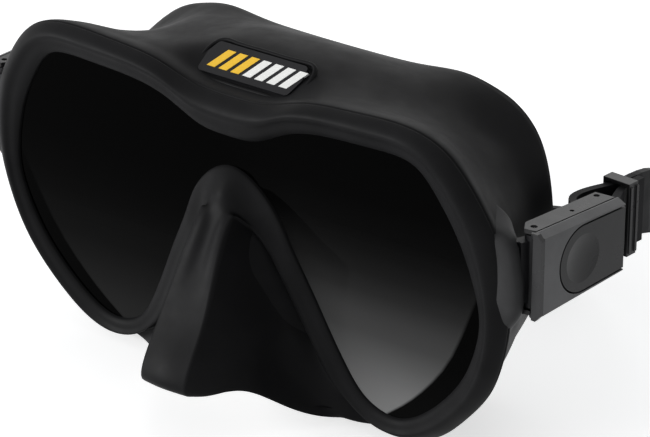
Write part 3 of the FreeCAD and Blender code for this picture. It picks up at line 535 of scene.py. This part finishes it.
def across(rows, v, fine_v):
    """Runs each column across the rings on its own spacing, so that bunched rings don't ripple."""
    count = len(rows)
    gaps = np.sqrt(np.maximum(np.linalg.norm(np.diff(rows, axis=0), axis=2), LEAST_GAP))[..., None]
    secant = np.diff(rows, axis=0) / gaps
    slope = np.empty_like(rows)
    slope[0], slope[-1] = secant[0], secant[-1]
    slope[1:-1] = (secant[:-1] * gaps[1:] + secant[1:] * gaps[:-1]) / (gaps[:-1] + gaps[1:])
    fold = fold_weights(count, rows.shape[1])[..., None]
    made = []
    for place in fine_v:
        i = min(int(np.searchsorted(v, place, side="right")) - 1, count - 2)
        t, h = (place - v[i]) / (v[i + 1] - v[i]), gaps[i]
        leave = slope[i] * (1 - fold[i]) + secant[i] * fold[i]
        arrive = slope[i + 1] * (1 - fold[i + 1]) + secant[i] * fold[i + 1]
        made.append(rows[i] * (2 * t ** 3 - 3 * t * t + 1) + leave * h * (t ** 3 - 2 * t * t + t)
                    + rows[i + 1] * (3 * t * t - 2 * t ** 3) + arrive * h * (t ** 3 - t * t))
    return np.array(made)


def surface_normals(surface):
    normal = np.cross(np.roll(surface, -1, 1) - np.roll(surface, 1, 1), np.gradient(surface, axis=0))
    return normal / np.maximum(np.linalg.norm(normal, axis=2, keepdims=True), 1e-9)


PARTING_DEPTH, PARTING_WIDTH = 0.3, 0.24      # the thin groove where the frame meets the skirt
STEP_DEPTH, STEP_WIDTH = 0.5, 1.3             # the hollow inside the rim's flat inner band
STEP_PLACE = 0.62                             # its share of the way from the lip to the crest
PARTING_FADE = (4.5, 2)                       # columns from the nose where each groove starts, and its fade
STEP_FADE = (1, 3)


def groove(run, row, depth, width, from_nose, fade):
    """How deep a groove along one row sinks the surface."""
    start, length = fade
    return depth * np.exp(-((run - run[row]) / width) ** 2) * np.clip((from_nose - start) / length, 0, 1)


def parted(surface, v, fine_v):
    """Sinks the parting line and the step of the inner band, fading out towards the nose."""
    run = np.cumsum(np.concatenate([np.zeros((1, surface.shape[1])),
                                    np.linalg.norm(np.diff(surface, axis=0), axis=2)]), axis=0)
    from_nose = np.abs(np.arange(surface.shape[1]) / AROUND - NOSE_COLUMN)
    row = int(np.argmin(np.abs(fine_v - v[PARTING_RING])))
    dip = groove(run, row, PARTING_DEPTH, PARTING_WIDTH, from_nose, PARTING_FADE)
    step_row = int(np.argmin(np.abs(fine_v - (v[1] + STEP_PLACE * (v[2] - v[1])))))
    dip = dip + groove(run, step_row, STEP_DEPTH, STEP_WIDTH, from_nose, STEP_FADE)
    outside = (fine_v < v[SEAL_RING])[:, None]
    return surface - surface_normals(surface) * (dip * outside)[..., None]


def make_skirt(material):
    """The whole silicone moulding but its lugs, as one closed skin."""
    rings = skirt_rings()
    gap_u = np.linalg.norm(np.roll(rings, -1, 1) - rings, axis=2).mean(0)
    gap_v = np.linalg.norm(rings[1:] - rings[:-1], axis=2).mean(1)
    u, v = chord_knots(gap_u), chord_knots(gap_v)
    fine_u = np.concatenate([np.linspace(a, b, AROUND, endpoint=False) for a, b in zip(u, u[1:])])
    fine_v = fine_places(v)
    rows = facet_rows(rings, u, fine_u).transpose(1, 0, 2)
    surface = parted(across(rows, v, fine_v), v, fine_v)
    faces = grid_faces(len(fine_v), len(fine_u))
    skin = mesh_object("skirt_skin", surface.reshape(-1, 3), faces, material, "mask")
    recalc_outward(skin)
    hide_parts("skirt")


# ---------------------------------------------------------------- lug
LUG_SECTION = [(80.5, 1.6), (83.2, 1.5), (85.4, 2.0), (86.4, 3.0), (86.0, 4.4), (84.8, 6.0), (82.2, 8.6),
               (79.0, 12.0)]
LUG_HEIGHTS = [(6.3, 0.0), (5.4, 0.35), (4.3, 0.72), (2.8, 0.93), (0.5, 1.0), (-5, 1.0), (-10, 1.0),
               (-14, 0.97), (-17, 0.86), (-20, 0.66), (-24, 0.36), (-28, 0.0)]
LUG_ROOT, LUG_MIDDLE = 80.0, -8.0             # where the section starts out, and the lug's middle height
LUG_SINK = 4.0                                # how deep its faded ends sink into the rim
LUG_LEANS_BELOW, LUG_LEAN = -12.0, 0.25
LUG_ROWS, LUG_COLUMNS, LUG_WALL = 49, 33, 0.0012


def rim_side(z):
    """How far out the rim's side stands at a height."""
    side = sorted(PARTING[7:15], key=lambda p: p[1])
    return float(np.interp(z, [p[1] for p in side], [p[0] for p in side]))


def make_lug(side, material):
    """The lug that stands out of the rim's side and tapers away down the cheek."""
    section = spline(np.array(LUG_SECTION), chord_knots(np.ones(len(LUG_SECTION) - 1)),
                     np.linspace(0, 1, LUG_COLUMNS), False)
    table = np.array(LUG_HEIGHTS)
    heights = spline(table, chord_knots(np.abs(np.diff(table[:, 0]))), np.linspace(0, 1, LUG_ROWS), False)
    points = []
    for z, reach in heights:
        inward = min(rim_side(z) - rim_side(LUG_MIDDLE), 0)
        back = max(0, LUG_LEANS_BELOW - z) * LUG_LEAN
        for x, y in section:
            out = (x - LUG_ROOT) * max(reach, 0) + LUG_ROOT + inward
            points.append((side * (out - LUG_SINK * (1 - reach)), y + back, z))
    obj = mesh_object("lug_" + ("right" if side > 0 else "left"), points,
                      grid_faces(len(heights), len(section), wrap_columns=False), material, "mask")
    solid = obj.modifiers.new("body", "SOLIDIFY")
    solid.thickness, solid.offset = LUG_WALL, -1
    recalc_outward(obj)
    if obj.data.polygons[len(obj.data.polygons) // 2].normal.x * side < 0:
        obj.data.flip_normals()


# ---------------------------------------------------------------- badge collar
COLLAR = [(-15.8, -5.9), (-9, -6), (0, -6), (9, -6), (14, -5.9), (15.8, -3.2), (16.9, 0.2), (16.7, 4),
          (15.3, 5.9), (9, 6), (0, 6), (-9, 6), (-13.9, 5.9), (-16, 3.9), (-16.9, 1.2), (-16.9, -4)]
BADGE_CENTRE, BADGE_SLOPE = (0, 9.3, 24.2), math.radians(36)
COLLAR_HEIGHT, COLLAR_WIDE, COLLAR_TALL = 0.3, 0.62, 0.75     # over the badge's underside, and half sizes
COLLAR_ROWS, COLLAR_STEPS = 16, 160


def make_collar(material):
    """The moulded rim round the badge's plate, with a narrow moat between them."""
    gaps = [math.dist(p, COLLAR[(i + 1) % len(COLLAR)]) for i, p in enumerate(COLLAR)]
    line = spline(np.array(COLLAR), chord_knots(gaps), np.linspace(0, 1, COLLAR_STEPS, endpoint=False), True)
    along = np.roll(line, -1, 0) - np.roll(line, 1, 0)
    out = np.stack([along[:, 1], -along[:, 0]], 1) / np.linalg.norm(along, axis=1, keepdims=True)
    cos, sin = math.cos(BADGE_SLOPE), math.sin(BADGE_SLOPE)
    points = []
    for turn in np.linspace(0, 2 * math.pi, COLLAR_ROWS, endpoint=False):
        wide, tall = COLLAR_WIDE * math.cos(turn), COLLAR_HEIGHT + COLLAR_TALL * math.sin(turn)
        for x, up in line + out * wide:
            points.append((BADGE_CENTRE[0] + x,
                           BADGE_CENTRE[1] + up * cos - tall * sin,
                           BADGE_CENTRE[2] + up * sin + tall * cos))
    obj = mesh_object("badge_collar", points, grid_faces(COLLAR_ROWS, COLLAR_STEPS, wrap_rows=True), material,
                      "mask")
    recalc_outward(obj)


# ---------------------------------------------------------------- CAD pieces
FINISHES = {"lens": "glass", "brow_badge": "badge", "badge_stripes_yellow": "yellow",
            "badge_stripes_white": "white", "head_strap": "strap", "lug_anchor": "badge",
            "hinge_pin": "steel", "buckle_shell": "buckle", "buckle_cover": "cover",
            "release_button": "button", "button_springs": "steel", "pawl": "inner", "pawl_pin": "steel",
            "strap_roller": "inner", "roller_axle": "steel", "strap_end": "strap", "strap_keeper": "buckle"}
SOFT_EDGES = {"buckle_shell": 0.25, "buckle_cover": 0.22, "release_button": 0.3, "strap_keeper": 0.25,
              "brow_badge": 0.2}
WELD_DISTANCE, FLAT_ANGLE, SHARP_ANGLE, EDGE_STEPS = 0.000004, math.radians(1.5), math.radians(32), 3


def soften(obj, width):
    """Rounds a CAD piece's edges without changing its mesh."""
    weld = obj.modifiers.new("weld", "WELD")
    weld.merge_threshold = WELD_DISTANCE
    flat = obj.modifiers.new("flat", "DECIMATE")
    flat.decimate_type, flat.angle_limit = "DISSOLVE", FLAT_ANGLE
    bevel = obj.modifiers.new("round", "BEVEL")
    bevel.width, bevel.segments, bevel.limit_method = width * MM, EDGE_STEPS, "ANGLE"
    bevel.angle_limit = SHARP_ANGLE
    bevel.use_clamp_overlap = True
    bevel.harden_normals = True
    bevel.miter_outer = "MITER_ARC"


def finish_piece(name, obj, materials):
    """Gives a CAD piece its material and, on the mouldings, rounded edges."""
    stem = name.replace("_left", "").replace("_right", "")
    obj.data.materials.clear()
    obj.data.materials.append(materials[FINISHES.get(stem, "silicone")])
    if stem in SOFT_EDGES:
        soften(obj, SOFT_EDGES[stem])


# ---------------------------------------------------------------- build
make_camera()
make_world()
make_floor()
for lamp, settings in LAMPS.items():
    area_light(lamp, *settings)
materials = make_materials()
make_skirt(materials["silicone"])
for piece_name, piece in frame["nodes"].items():
    finish_piece(piece_name, piece, materials)
make_collar(materials["silicone"])
for side in (1, -1):
    # the lugs take the silicone painted lighter for their lit faces
    make_lug(side, materials["lug"])

bpy.context.scene.view_settings.view_transform = "Standard"
